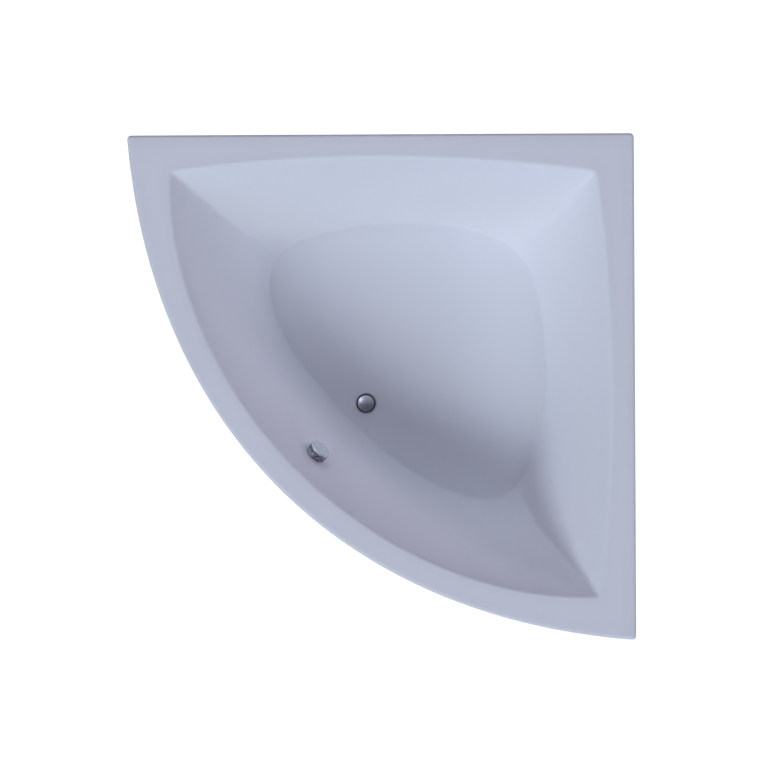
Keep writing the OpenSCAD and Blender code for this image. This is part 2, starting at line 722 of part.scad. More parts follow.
pad_bevel = pad_h / 3;
module foot_pad(k)
    color([0.12, 0.12, 0.13]) on_diagonal(feet[k][0], feet[k][1]) difference() {
        rotate_extrude($fn = round_fn) polygon([[0, 0], [pad_r, 0], [pad_r, pad_h - pad_bevel],
            [pad_r - pad_bevel, pad_h], [socket_r + pad_bevel, pad_h],
            [socket_r, pad_h + pad_bevel], [socket_r, pad_h + socket_h], [0, pad_h + socket_h]]);
        translate([0, 0, pad_floor]) cylinder(r = stud_r + run_gap, h = pad_h + socket_h, $fn = small_fn);
    }
module foot_pad_1() foot_pad(0);
module foot_pad_2() foot_pad(1);
module foot_pad_3() foot_pad(2);
module foot_pad_4() foot_pad(3);
module foot_pad_5() foot_pad(4);

module foot_nuts()
    color([0.72, 0.73, 0.75]) for (f = feet, z = [rail_z - nut_h, rail_z + tube_w])
        on_diagonal(f[0], f[1], z) difference() {
            cylinder(d = nut_flats / cos(30), h = nut_h, $fn = 6);
            bore(stud_r + run_gap, nut_h);
        }

// Front panel and what holds it

// The panel's section as outer and inner points: distance in, and height.
// It drops from the rim, steps in over the plinth and turns in at its foot.
panel_top = rim_height - shell_t - panel_top_gap;
step_z = panel_foot_gap + plinth_h;
step_lift = panel_t * tan(22.5);
panel_outer = [[panel_in, panel_top], [panel_in, step_z],
    [panel_in + plinth_step, step_z - plinth_step],
    [panel_in + plinth_step, panel_foot_gap], [panel_in + panel_flange, panel_foot_gap]];
panel_inner = [[panel_in + panel_t, panel_top], [panel_in + panel_t, step_z + step_lift],
    [panel_in + plinth_step + panel_t, step_z - plinth_step + step_lift],
    [panel_in + plinth_step + panel_t, panel_foot_gap + panel_t],
    [panel_in + panel_flange, panel_foot_gap + panel_t]];
module front_panel() {
    n = 2 * front_steps;
    m = len(panel_outer);
    w = 2 * m;
    section = concat(panel_outer, [for (k = [m - 1:-1:0]) panel_inner[k]]);
    ends = [for (k = [0:m - 2], q = [[k, k + 1, w - 2 - k], [k, w - 2 - k, w - 1 - k]]) q];
    color([0.93, 0.94, 0.97]) polyhedron(
        points = [for (i = [0:n], q = section)
            let (t = mix(panel_end_share, 1 - panel_end_share, i / n),
                h = xy(beside(outer_front, t, q[0])))
            [h[0], h[1], q[1]]],
        faces = concat(
            [for (i = [0:n - 1], j = [0:w - 1], k = [0, 1])
                let (a = i * w + j, b = i * w + (j + 1) % w)
                k == 0 ? [a, b + w, b] : [a, a + w, b + w]],
            ends, [for (e = ends) [n * w + e[2], n * w + e[1], n * w + e[0]]]));
}

module panel_clips()
    color([0.2, 0.2, 0.22]) for (t = clip_shares) {
        half_share = clip_w / 2 / side_len / sqrt(2);
        translate([0, 0, batten_z]) linear_extrude(clip_h)
            plan(strip(outer_front, t - half_share, t + half_share, 2,
                panel_in + panel_t + free_gap, batten_in - seat_gap));
    }

// Brackets from the front bar out to the panel's inner face. Each has a leg
// on the bar, a slotted arm and a leg behind the panel.
foot_bracket_share = (foot_bracket_offset + bracket_w / 2)
    / norm(3 * slope(outer_front, 0.5));
foot_bracket_end = beside(outer_front, 0.5 + foot_bracket_share, panel_in + panel_t + free_gap);
foot_bracket_reach = (foot_bracket_end[0] + foot_bracket_end[1]) / sqrt(2)
    - front_post_p - tube_w / 2;
foot_bracket_z = rail_z + (tube_w - foot_bracket_h) / 2;
module panel_foot_brackets()
    color([0.7, 0.71, 0.73]) for (k = [-1, 1])
        on_diagonal(front_post_p + tube_w / 2, k * foot_bracket_offset, foot_bracket_z)
            translate([0, -bracket_w / 2, 0]) difference() {
                union() {
                    cube([bracket_t, bracket_w, foot_bracket_h]);
                    cube([foot_bracket_reach, bracket_w, bracket_t]);
                    translate([foot_bracket_reach - bracket_t, 0, 0])
                        cube([bracket_t, bracket_w, foot_bracket_h]);
                }
                translate([(foot_bracket_reach - foot_slot_len) / 2, bracket_w / 2 - screw_r, -over])
                    cube([foot_slot_len, 2 * screw_r, bracket_t + 2 * over]);
            }

// Waste

flange_z = floor_z + flange_seal_t;
neck_foot_z = floor_z - neck_drop;
neck_in_r = neck_r - neck_wall;
guide_top = floor_z - 2 * shell_t;

module waste_flange()
    color([0.8, 0.82, 0.84]) at_waste() union() {
        rotate_extrude($fn = round_fn) polygon([
            [neck_r, neck_foot_z], [neck_r, flange_z], [flange_r, flange_z],
            [flange_r, flange_z + flange_h / 2],
            [flange_r - flange_h / 2, flange_z + flange_h],
            [flange_lip_r + flange_h / 4, flange_z + flange_h],
            [flange_lip_r, flange_z + flange_h - flange_h / 4],
            [flange_lip_r, flange_z + flange_base_t],
            [neck_r + flange_base_t, flange_z + flange_base_t],
            [neck_in_r, flange_z - neck_wall], [neck_in_r, neck_foot_z]]);
        difference() {
            union() {
                translate([0, 0, guide_top - guide_h])
                    cylinder(r = guide_hub_r, h = guide_h, $fn = small_fn);
                for (k = [0:2]) translate([0, 0, guide_top - guide_h]) rotate([0, 0, 120 * k])
                    translate([0, -guide_rib_t / 2, 0])
                    cube([neck_r - neck_wall / 2, guide_rib_t, guide_h / 2]);
            }
            translate([0, 0, guide_top - guide_h]) bore(stem_r + run_gap, guide_h);
        }
    }

module flange_seal()
    color([0.15, 0.15, 0.16]) at_waste(floor_z)
        ring(flange_lip_r, neck_r + free_gap / 2, flange_seal_t);

module waste_washer()
    color([0.12, 0.12, 0.13]) at_waste(under_z - washer_t)
        ring(body_ring_r - body_wall, neck_r + free_gap / 2, washer_t);

// The waste body: ring, cup, outlet, hose port and the lever's housing
port_z = body_foot + body_wall + port_r;
pivot_z = body_foot + body_wall + plug_lift / 2 + 2 * tip_r;
housing_in_w = lever_w + 2 * body_wall;
housing_top = pivot_z + cable_arm + 2 * tip_r + free_gap;
housing_foot = body_foot + housing_wall;
housing_end = lever_arm + 2 * pin_r + 2 * free_gap;
cable_z = pivot_z + cable_arm;
module waste_body()
    color([0.16, 0.16, 0.18]) at_waste() difference() {
        union() {
            translate([0, 0, body_foot]) cylinder(r = body_r, h = body_h, $fn = round_fn);
            translate([0, 0, body_top - body_ring_h])
                cylinder(r = body_ring_r, h = body_ring_h, $fn = round_fn);
            translate([0, 0, body_foot - outlet_len])
                cylinder(r = outlet_r, h = outlet_len + body_wall, $fn = round_fn);
            translate([0, 0, port_z]) rotate([0, 90, 0])
                cylinder(r = port_r, h = port_reach, $fn = small_fn);
            translate([-housing_in_w / 2 - housing_wall, -housing_end - housing_wall, body_foot])
                cube([housing_in_w + 2 * housing_wall, housing_end,
                    housing_top - body_foot + housing_wall]);
            translate([0, -housing_end, cable_z]) rotate([90, 0, 0])
                cylinder(r = cable_r + housing_wall, h = housing_wall + ferrule_len, $fn = small_fn);
        }
        translate([0, 0, body_foot + body_wall])
            cylinder(r = body_r - body_wall, h = neck_foot_z - body_foot - body_wall, $fn = round_fn);
        translate([0, 0, neck_foot_z]) bore(neck_r + free_gap / 2, body_top - neck_foot_z, round_fn);
        translate([0, 0, body_foot - outlet_len])
            bore(outlet_r - body_wall, outlet_len + body_wall, round_fn);
        translate([0, 0, port_z]) rotate([0, 90, 0])
            cylinder(r = port_r - port_wall, h = port_reach + over, $fn = small_fn);
        translate([-housing_in_w / 2, -housing_end, housing_foot])
            cube([housing_in_w, housing_end - body_r + 2 * body_wall, housing_top - housing_foot]);
        translate([0, -lever_arm, pivot_z]) rotate([0, 90, 0]) translate([0, 0, -body_r])
            cylinder(r = pin_r + run_gap, h = 2 * body_r, $fn = small_fn);
        translate([0, -housing_end + over, cable_z]) rotate([90, 0, 0])
            cylinder(r = cable_r / 2 + run_gap, h = 2 * housing_wall + ferrule_len + over, $fn = small_fn);
    }

// Plug: cap, seal and stem move together
cap_z = flange_z + flange_base_t + free_gap + plug_seal_t;
dome_r = (plug_r * plug_r + plug_dome * plug_dome) / (2 * plug_dome);
stem_foot = pivot_z - plug_lift / 2 + tip_r + free_gap;
lever_half_angle = asin(plug_lift / 2 / lever_arm);

module plug_cap()
    color([0.82, 0.84, 0.86]) at_waste(cap_z) difference() {
        intersection() {
            cylinder(r = plug_r, h = plug_edge_t + plug_dome, $fn = round_fn);
            translate([0, 0, plug_edge_t + plug_dome - dome_r])
                sphere(r = dome_r, $fn = 2 * round_fn);
        }
        translate([0, 0, -over]) cylinder(r = stem_r, h = over + plug_edge_t, $fn = small_fn);
    }

module plug_seal()
    color([0.15, 0.15, 0.16]) at_waste(cap_z - plug_seal_t)
        ring(flange_lip_r - free_gap, neck_in_r - plug_edge_t, plug_seal_t);

module plug_stem()
    color([0.72, 0.74, 0.76]) at_waste(stem_foot)
        cylinder(r = stem_r, h = cap_z + plug_edge_t - stem_foot, $fn = small_fn);

module lift_lever()
    color([0.85, 0.85, 0.83]) at_waste() translate([0, -lever_arm, pivot_z])
        rotate([-lever_half_angle, 0, 0]) difference() {
            union() {
                rotate([0, 90, 0]) translate([0, 0, -lever_w / 2])
                    cylinder(r = 2 * pin_r, h = lever_w, $fn = small_fn);
                translate([-lever_w / 2, 0, -lever_t / 2]) cube([lever_w, lever_arm, lever_t]);
                translate([-lever_w / 2, lever_arm, 0]) rotate([0, 90, 0])
                    cylinder(r = tip_r, h = lever_w, $fn = small_fn);
                translate([-lever_w / 2, -lever_t / 2, 0]) cube([lever_w, lever_t, cable_arm]);
                translate([-lever_w / 2, 0, cable_arm]) rotate([0, 90, 0])
                    cylinder(r = tip_r, h = lever_w, $fn = small_fn);
            }
            rotate([0, 90, 0]) translate([0, 0, -lever_w / 2]) bore(pin_r + run_gap, lever_w);
        }

module lever_pin()
    color([0.8, 0.81, 0.83]) at_waste() translate([0, -lever_arm, pivot_z]) rotate([0, 90, 0])
        translate([0, 0, -housing_in_w / 2 - housing_wall])
        cylinder(r = pin_r, h = housing_in_w + 2 * housing_wall, $fn = small_fn);

// Trap: it runs from under the waste towards one wall, square to it
waste_xy = xy([waste_p, waste_p] / sqrt(2));
outlet_z = trap_bend_z + bend_r;
module at_trap(z = 0) translate([waste_xy[0], waste_xy[1], z]) children();

module trap_run(r)
    union() {
        translate([0, 0, trap_bend_z]) cylinder(r = r, h = trap_top - trap_bend_z, $fn = round_fn);
        translate([bend_r, 0, trap_bend_z]) rotate([90, 0, 0]) rotate([0, 0, 180])
            rotate_extrude(angle = 180, $fn = round_fn)
            translate([bend_r, 0]) circle(r = r, $fn = small_fn);
        translate([3 * bend_r, 0, trap_bend_z]) rotate([90, 0, 0]) rotate([0, 0, 90])
            rotate_extrude(angle = 90, $fn = round_fn)
            translate([bend_r, 0]) circle(r = r, $fn = small_fn);
        translate([3 * bend_r, 0, outlet_z]) rotate([0, 90, 0])
            cylinder(r = r, h = socket_len, $fn = round_fn);
    }

module trap_body()
    color([0.9, 0.9, 0.9]) at_trap() difference() {
        union() {
            trap_run(trap_r);
            translate([3 * bend_r + trap_nut_h / 2, 0, outlet_z]) rotate([0, 90, 0])
                cylinder(r = house_pipe_r + 2 * trap_wall, h = socket_len - trap_nut_h / 2, $fn = round_fn);
        }
        trap_run(trap_r - trap_wall);
        translate([0, 0, trap_top - over]) cylinder(r = trap_r - trap_wall, h = 2 * over, $fn = round_fn);
        translate([3 * bend_r + trap_nut_h, 0, outlet_z]) rotate([0, 90, 0])
            cylinder(r = house_pipe_r + run_gap, h = socket_len, $fn = round_fn);
    }

module trap_inlet_nut()
    color([0.88, 0.88, 0.88]) at_trap(trap_top - trap_nut_h / 2) difference() {
        nut_blank(trap_nut_r, trap_nut_h);
        bore(outlet_r + free_gap / 2, trap_nut_h, round_fn);
    }

module trap_outlet_nut()
    color([0.88, 0.88, 0.88]) at_trap(outlet_z)
        translate([3 * bend_r + socket_len, 0, 0]) rotate([0, 90, 0])
        difference() {
            translate([0, 0, -trap_nut_h / 2]) nut_blank(trap_nut_r + trap_wall, trap_nut_h);
            translate([0, 0, -trap_nut_h / 2]) translate([0, 0, -over])
                cylinder(r = house_pipe_r + 2 * trap_wall + seat_gap,
                    h = over + trap_nut_h / 2, $fn = round_fn);
            bore(house_pipe_r + run_gap, trap_nut_h, round_fn);
        }

// A ring nut with grip ribs
module nut_blank(r, h)
    union() {
        cylinder(r = r - grip_t, h = h, $fn = round_fn);
        for (k = [0:grip_count - 1]) rotate([0, 0, 360 * k / grip_count])
            translate([r - 2 * grip_t, -grip_t / 2, 0]) cube([2 * grip_t, grip_t, h]);
    }

// Overflow, knob and shaft

cup_r = overflow_hole_r + body_wall;
flange_back = -shell_t - overflow_seal_t;
cup_back = flange_back - overflow_flange_t - overflow_cup_len;
spigot_z = cup_back + body_wall + port_r;
pillar_r = 2 * screw_r;

module overflow_seal()
    color([0.12, 0.12, 0.13]) at_overflow(flange_back)
        ring(overflow_flange_r - overflow_seal_in, overflow_hole_r - overflow_seal_in, overflow_seal_t);

module overflow_body()
    color([0.16, 0.16, 0.18]) at_overflow() difference() {
        union() {
            difference() {
                union() {
                    translate([0, 0, flange_back - overflow_flange_t])
                        cylinder(r = overflow_flange_r, h = overflow_flange_t, $fn = round_fn);
                    translate([0, 0, cup_back])
                        cylinder(r = cup_r, h = overflow_cup_len + over, $fn = round_fn);
                    translate([0, 0, spigot_z]) rotate([0, -90, 0])
                        cylinder(r = port_r, h = overflow_port_reach, $fn = small_fn);
                    translate([0, -cable_offset, spigot_z]) rotate([0, -90, 0])
                        cylinder(r = cable_r + housing_wall, h = cup_r + ferrule_len, $fn = small_fn);
                }
                translate([0, 0, cup_back + body_wall])
                    cylinder(r = cup_r - body_wall, h = overflow_cup_len + overflow_flange_t,
                        $fn = round_fn);
            }
            for (k = [-1, 1]) translate([0, k * plate_screw_at, cup_back + over])
                cylinder(r = pillar_r, h = -cup_back - over - shell_t / 2, $fn = small_fn);
        }
        translate([0, 0, spigot_z]) rotate([0, -90, 0])
            cylinder(r = port_r - port_wall, h = overflow_port_reach + over, $fn = small_fn);
        for (k = [-1, 1]) translate([0, k * plate_screw_at, -shell_t - screw_len])
            cylinder(r = screw_r + run_gap, h = screw_len + shell_t, $fn = small_fn);
    }
plate_bevel = plate_t / 3;
plate_seat = plate_t / 4;
module overflow_plate()
    color([0.78, 0.8, 0.82]) at_overflow() difference() {
        rotate_extrude($fn = round_fn) polygon([[0, -shell_t], [pillar_r * 2, -shell_t],
            [pillar_r * 2, plate_seat], [plate_r, plate_seat], [plate_r, plate_t - plate_bevel],
            [plate_r - plate_bevel, plate_t], [0, plate_t]]);
        translate([0, 0, -shell_t]) bore(shaft_r + run_gap, shell_t + plate_t);
        for (k = [-1, 1]) translate([0, k * plate_screw_at, 0]) {
            bore(screw_r + run_gap, plate_t);
            translate([0, 0, plate_t - screw_head_h / 2]) cylinder(r = screw_head_r + run_gap,
                h = screw_head_h, $fn = small_fn);
        }
        for (k = [-1, 1]) translate([k * plate_screw_at - slot_w / 2, -slot_len / 2, -over])
            cube([slot_w, slot_len, plate_t + 2 * over]);
    }

plate_screw_top = plate_t - screw_head_h / 2;
module plate_screws()
    color([0.74, 0.76, 0.78]) for (k = [-1, 1])
        at_overflow() translate([0, k * plate_screw_at, plate_screw_top]) rotate([180, 0, 0])
            union() {
                cylinder(r = screw_r, h = screw_len + plate_screw_top, $fn = small_fn);
                translate([0, 0, -screw_head_h / 2])
                    cylinder(r = screw_head_r, h = screw_head_h / 2, $fn = small_fn);
            }

knob_face = knob_gap + knob_len;
module overflow_knob()
    color([0.82, 0.84, 0.86]) at_overflow() difference() {
        rotate_extrude($fn = 2 * round_fn) polygon([
            [0, knob_gap + knob_wall], [shaft_r * 2, knob_gap + knob_wall],
            [shaft_r * 2, knob_face - knob_wall], [knob_r - knob_wall, knob_face - knob_wall],
            [knob_r - knob_wall, knob_gap], [knob_r - knob_bevel / 2, knob_gap],
            [knob_r, knob_gap + knob_bevel / 2], [knob_r, knob_face - knob_bevel],
            [knob_r - knob_bevel, knob_face], [0, knob_face]]);
        cylinder(r = shaft_r, h = knob_face - knob_wall, $fn = small_fn);
    }

module knob_shaft()
    color([0.7, 0.72, 0.74]) at_overflow() union() {
        translate([0, 0, flange_back - overflow_flange_t])
            cylinder(r = shaft_r, h = knob_face - knob_wall - flange_back + overflow_flange_t,
                $fn = small_fn);
        translate([0, 0, flange_back - overflow_flange_t]) difference() {
            cylinder(r = cam_r, h = cam_t, $fn = small_fn);
            translate([cam_r, 0, 0]) bore(cam_r / 3, cam_t);
        }
    }

// Hose and cable. Paths are in the diagonal frame: p, s and height.
function wall_frame(x, y, z) = [
    overflow_p + x * cos(front_slope) - z * sin(front_slope), y,
    overflow_z + x * sin(front_slope) + z * cos(front_slope)];
down_wall = [-cos(front_slope), 0, -sin(front_slope)];
hose_top = wall_frame(-overflow_port_reach, 0, spigot_z);
hose_foot = [waste_p + port_reach, 0, port_z];
hose_pull = basin_depth * hose_handle_share;
hose_path = [hose_top, hose_top + down_wall * hose_pull,
    hose_foot + [hose_pull * hose_foot_share, 0, 0], hose_foot];

cable_top = wall_frame(-cup_r - ferrule_len, -cable_offset, spigot_z);
cable_foot = [waste_p, -housing_end - housing_wall - ferrule_len, cable_z];
cable_knee = [waste_p + waste_setback * cable_knee_share, cable_foot[1] + 2 * cable_r,
    cable_z];
cable_paths = [
    [cable_foot, cable_foot - [0, lever_arm * cable_turn_share, 0],
        cable_knee - [waste_setback * cable_lead_share, 0, 0], cable_knee],
    [cable_knee, cable_knee + [waste_setback, 0, 0],
        cable_top + down_wall * waste_setback * cable_rise_share, cable_top]];

// A direction that neither hose nor cable runs in, to turn their rings from
ring_start = unit([1, 1, -1]);
function ring_at(c, t, r, n) = let (e = unit(slope(c, t)), a = unit(cross(e, ring_start)), b = cross(e, a))
    [for (k = [0:n - 1]) cubic(c, t) + r * (a * cos(360 * k / n) + b * sin(360 * k / n))];

// Outside rings from top to foot, then the bore's rings back up
rib_rings = [for (k = [0:rib_count - 1], m = [0, 1])
    [(k + hose_ends + m / 2) / (rib_count + 2 * hose_ends), m == 0 ? rib_root_r : rib_r]];
hose_rings = concat([[0, rib_root_r]], rib_rings, [[1, rib_root_r]],
    [for (k = [bore_steps:-1:0]) [k / bore_steps, hose_bore_r]]);
module overflow_hose() {
    m = len(hose_rings);
    color([0.55, 0.56, 0.58]) on_diagonal() polyhedron(
        points = [for (q = hose_rings) each ring_at(hose_path, q[0], q[1], tube_n)],
        faces = [for (r = [0:m - 1], i = [0:tube_n - 1], k = [0, 1])
            let (a = r * tube_n + i, b = r * tube_n + (i + 1) % tube_n,
                c = ((r + 1) % m) * tube_n + i, d = ((r + 1) % m) * tube_n + (i + 1) % tube_n)
            k == 0 ? [a, d, b] : [a, c, d]]);
}

cable_rings = [for (c = [0, 1], k = [0:cable_steps]) if (c == 0 || k > 0)
    ring_at(cable_paths[c], k / cable_steps, cable_r, tube_n)];
module bowden_cable() {
    m = len(cable_rings);
    color([0.13, 0.13, 0.14]) on_diagonal() polyhedron(
        points = concat([cable_foot], [for (r = cable_rings) each r], [cable_top]),
        faces = [for (f = stack_faces(m, tube_n)) [f[2], f[1], f[0]]]);
}

module hose_nut()
    difference() {
        nut_blank(hose_nut_r, hose_nut_len);
        bore(rib_r + free_gap, hose_nut_len, round_fn);
    }
module hose_nut_top()
    color([0.16, 0.16, 0.18]) at_overflow() translate([-overflow_port_reach, 0, spigot_z])
        rotate([0, -90, 0]) translate([0, 0, -hose_nut_len / 2]) hose_nut();
module hose_nut_bottom()
    color([0.16, 0.16, 0.18]) at_waste() translate([port_reach, 0, port_z])
        rotate([0, 90, 0]) translate([0, 0, -hose_nut_len / 2]) hose_nut();

tub_shell();
base_board();
rear_batten();
side_batten();
front_batten();
spine_rail();
cross_rail();
left_mid_rail();
right_mid_rail();
left_front_arm();
right_front_arm();
front_bar();
corner_post();
left_post();
right_post();
front_post();
post_brackets();
bracket_screws();
foot_stud_1();
foot_stud_2();
foot_stud_3();
foot_stud_4();
foot_stud_5();
foot_pad_1();
foot_pad_2();
foot_pad_3();
foot_pad_4();
foot_pad_5();
foot_nuts();
front_panel();
panel_clips();
panel_foot_brackets();
waste_flange();
flange_seal();
waste_washer();
waste_body();
plug_cap();
plug_seal();
plug_stem();
lift_lever();
lever_pin();
trap_inlet_nut();
trap_body();
trap_outlet_nut();
overflow_body();
overflow_seal();
overflow_plate();
plate_screws();
overflow_knob();
knob_shaft();
overflow_hose();
hose_nut_top();
hose_nut_bottom();
bowden_cable();
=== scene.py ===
import json
import math

import bmesh
import bpy
import numpy as np
from mathutils import Matrix, Vector

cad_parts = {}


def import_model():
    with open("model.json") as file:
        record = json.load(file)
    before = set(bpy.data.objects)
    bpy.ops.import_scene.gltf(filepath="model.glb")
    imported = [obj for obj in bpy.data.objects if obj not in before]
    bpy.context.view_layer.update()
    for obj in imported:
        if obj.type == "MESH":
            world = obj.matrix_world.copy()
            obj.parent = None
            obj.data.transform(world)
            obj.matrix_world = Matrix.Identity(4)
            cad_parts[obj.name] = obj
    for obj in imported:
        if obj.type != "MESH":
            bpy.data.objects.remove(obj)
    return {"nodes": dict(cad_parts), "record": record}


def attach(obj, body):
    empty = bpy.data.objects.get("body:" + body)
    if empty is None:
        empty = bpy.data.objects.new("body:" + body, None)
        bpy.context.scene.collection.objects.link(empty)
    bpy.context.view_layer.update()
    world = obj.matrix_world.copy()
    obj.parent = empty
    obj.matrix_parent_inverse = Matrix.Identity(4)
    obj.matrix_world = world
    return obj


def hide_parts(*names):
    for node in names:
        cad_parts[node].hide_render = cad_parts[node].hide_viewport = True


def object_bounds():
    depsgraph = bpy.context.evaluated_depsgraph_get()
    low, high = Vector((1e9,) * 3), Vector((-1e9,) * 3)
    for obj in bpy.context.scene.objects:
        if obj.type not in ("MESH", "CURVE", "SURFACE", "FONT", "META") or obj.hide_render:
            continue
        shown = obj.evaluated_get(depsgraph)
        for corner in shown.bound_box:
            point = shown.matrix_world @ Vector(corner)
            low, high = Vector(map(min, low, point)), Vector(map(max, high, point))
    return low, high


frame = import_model()
cad_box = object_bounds()
nodes = frame["nodes"]

# Sizes in millimetres, as in the part's source
MM = 0.001
SIDE, RIM_Z, DEPTH = 1500.0, 600.0, 420.0
FLOOR_Z = RIM_Z - DEPTH
SHELL_T = 5.0
EDGE_R, ROLL_R, FILLET = 12.0, 14.5, 14.0
LIP_DROP = 30.0
CORNER_LEN, MOUTH_CORNER_LEN = 13.0, 9.0
WASTE_SETBACK, OVERFLOW_DROP = 81.0, 125.0
HOLE_R = 26.0

# The plan curves: lengths in millimetres, shares of a length, angles in degrees
FRONT_HANDLE_SHARE, FRONT_ANGLE = 0.58, 94.4
MOUTH_CORNER, SIDE_RIM_W = 109.5, 61.5
END_RIM_W, END_RIM_IN = 124.0, 106.0
MOUTH_SIDE_SHARE, MOUTH_HANDLE_SHARE, MOUTH_ANGLE = 0.325, 0.526, 87.9
FLOOR_BACK_RUN, FLOOR_TIP_RUN, FLOOR_TIP_DROP = 190.5, 292.0, 200.0
FLOOR_BACK_SHARE, FLOOR_TIP_SHARE, FLOOR_FRONT_SHARE = 0.258, 0.232, 0.397
DIAGONAL = 45.0

# The creases, which stay sharp further down than in the source: in the photo they fade
# below about 40 percent of the walls' height
CREASE_BACK_RUN, CREASE_TIP_RUN, CREASE_TIP_DROP = 142.0, 265.0, 215.0
CREASE_ANGLE, CREASE_FADE = 87.0, 0.4

# Steps of the fine shell
SIDE_N, FRONT_N, CORNER_N = 72, 120, 6
FILLET_N, WALL_N, ROLL_N, EDGE_N = 7, 24, 8, 8


# ---------------------------------------------------------------- materials

def new_material(name):
    mat = bpy.data.materials.new(name)
    mat.use_nodes = True
    tree = mat.node_tree
    return mat, tree, tree.nodes["Principled BSDF"]


def place(tree, scale=(1, 1, 1)):
    """Object coordinates, in metres, stretched by scale."""
    coord = tree.nodes.new("ShaderNodeTexCoord")
    mapping = tree.nodes.new("ShaderNodeMapping")
    mapping.inputs["Scale"].default_value = scale
    tree.links.new(coord.outputs["Object"], mapping.inputs["Vector"])
    return mapping.outputs["Vector"]


def noise(tree, vector, scale, detail=3.0, rough=0.5, distortion=0.0):
    node = tree.nodes.new("ShaderNodeTexNoise")
    node.inputs["Scale"].default_value = scale
    node.inputs["Detail"].default_value = detail
    node.inputs["Roughness"].default_value = rough
    node.inputs["Distortion"].default_value = distortion
    tree.links.new(vector, node.inputs["Vector"])
    return node.outputs["Fac"]


def cells(tree, vector, scale, output="Color"):
    node = tree.nodes.new("ShaderNodeTexVoronoi")
    node.inputs["Scale"].default_value = scale
    tree.links.new(vector, node.inputs["Vector"])
    return node.outputs[output]


def spread(tree, value, low, high, start=0.3, end=0.7):
    """value, mapped from start..end to low..high."""
    node = tree.nodes.new("ShaderNodeMapRange")
    node.inputs["From Min"].default_value = start
    node.inputs["From Max"].default_value = end
    node.inputs["To Min"].default_value = low
    node.inputs["To Max"].default_value = high
    tree.links.new(value, node.inputs["Value"])
    return node.outputs["Result"]


def ramp(tree, value, stops):
    node = tree.nodes.new("ShaderNodeValToRGB")
    points = node.color_ramp.elements
    while len(points) < len(stops):
        points.new(0.5)
    for point, (at, colour) in zip(points, stops):
        point.position = at
        point.color = (*colour, 1)
    tree.links.new(value, node.inputs["Fac"])
    return node.outputs["Color"]


def bump(tree, shader, height, strength, distance):
    node = tree.nodes.new("ShaderNodeBump")
    node.inputs["Strength"].default_value = strength
    node.inputs["Distance"].default_value = distance
    tree.links.new(height, node.inputs["Height"])
    tree.links.new(node.outputs["Normal"], shader.inputs["Normal"])


def acrylic():
    """Glossy sanitary acrylic: faint waviness, faint smears in the gloss."""
    mat, tree, shader = new_material("acrylic")
    at = place(tree)
    shader.inputs["IOR"].default_value = 1.49
    shader.inputs["Specular IOR Level"].default_value = 0.22
    tone = ramp(tree, noise(tree, at, 2.2, 2), [
        (0.35, (0.925, 0.935, 0.955)), (0.65, (0.940, 0.950, 0.970))])
    tree.links.new(tone, shader.inputs["Base Color"])
    smear = noise(tree, place(tree, (1, 2.5, 1)), 5.0, 4, 0.55, 0.6)
    tree.links.new(spread(tree, smear, 0.38, 0.46), shader.inputs["Roughness"])
    bump(tree, shader, noise(tree, at, 14.0, 2), 0.05, 0.002)
    return mat


def chrome(name="chrome", tint=(0.80, 0.82, 0.86), low=0.05, high=0.11):
    mat, tree, shader = new_material(name)
    at = place(tree)
    shader.inputs["Metallic"].default_value = 1.0
    tone = ramp(tree, noise(tree, at, 60.0, 2), [
        (0.3, tuple(0.96 * c for c in tint)), (0.7, tint)])
    tree.links.new(tone, shader.inputs["Base Color"])
    tree.links.new(spread(tree, noise(tree, at, 90.0, 3), low, high),
                   shader.inputs["Roughness"])
    bump(tree, shader, noise(tree, at, 400.0, 2), 0.02, 0.0004)
    return mat


def knurled():
    """A grip of small chrome points, with painted reflections: specks of near black and near
    white in the base colour stand in for the parts of the room that each point mirrors.
    """
    mat, tree, shader = new_material("knurled_chrome_painted_glints")
    at = place(tree)
    shader.inputs["Metallic"].default_value = 1.0
    # painted reflections: the base colour runs from near black to near white in small specks
    tone = ramp(tree, noise(tree, at, 190.0, 3, 0.6), [
        (0.40, (0.08, 0.08, 0.11)), (0.52, (0.36, 0.36, 0.41)), (0.64, (0.98, 0.98, 0.99))])
    tree.links.new(tone, shader.inputs["Base Color"])
    shader.inputs["Roughness"].default_value = 0.16
    bump(tree, shader, cells(tree, at, 230.0, "Distance"), 0.9, 0.003)
    return mat


def moulded(name, dark, light, rough=(0.35, 0.5), grain=900.0, metallic=0.0):
    mat, tree, shader = new_material(name)
    at = place(tree)
    shader.inputs["Metallic"].default_value = metallic
    tone = ramp(tree, noise(tree, at, 25.0, 4, 0.6), [(0.35, dark), (0.65, light)])
    tree.links.new(tone, shader.inputs["Base Color"])
    tree.links.new(spread(tree, noise(tree, at, 80.0, 3), *rough),
                   shader.inputs["Roughness"])
    bump(tree, shader, noise(tree, at, grain, 3), 0.12, 0.0006)
    return mat


def zinc():
    """Zinc plating: small spangles of slightly different gloss and tone."""
    mat, tree, shader = new_material("zinc")
    at = place(tree)
    shader.inputs["Metallic"].default_value = 1.0
    flake = cells(tree, at, 260.0)
    tone = ramp(tree, flake, [(0.0, (0.52, 0.54, 0.57)), (1.0, (0.68, 0.69, 0.71))])
    tree.links.new(tone, shader.inputs["Base Color"])
    tree.links.new(spread(tree, flake, 0.28, 0.42, 0, 1), shader.inputs["Roughness"])
    bump(tree, shader, noise(tree, at, 500.0, 2), 0.1, 0.0004)
    return mat


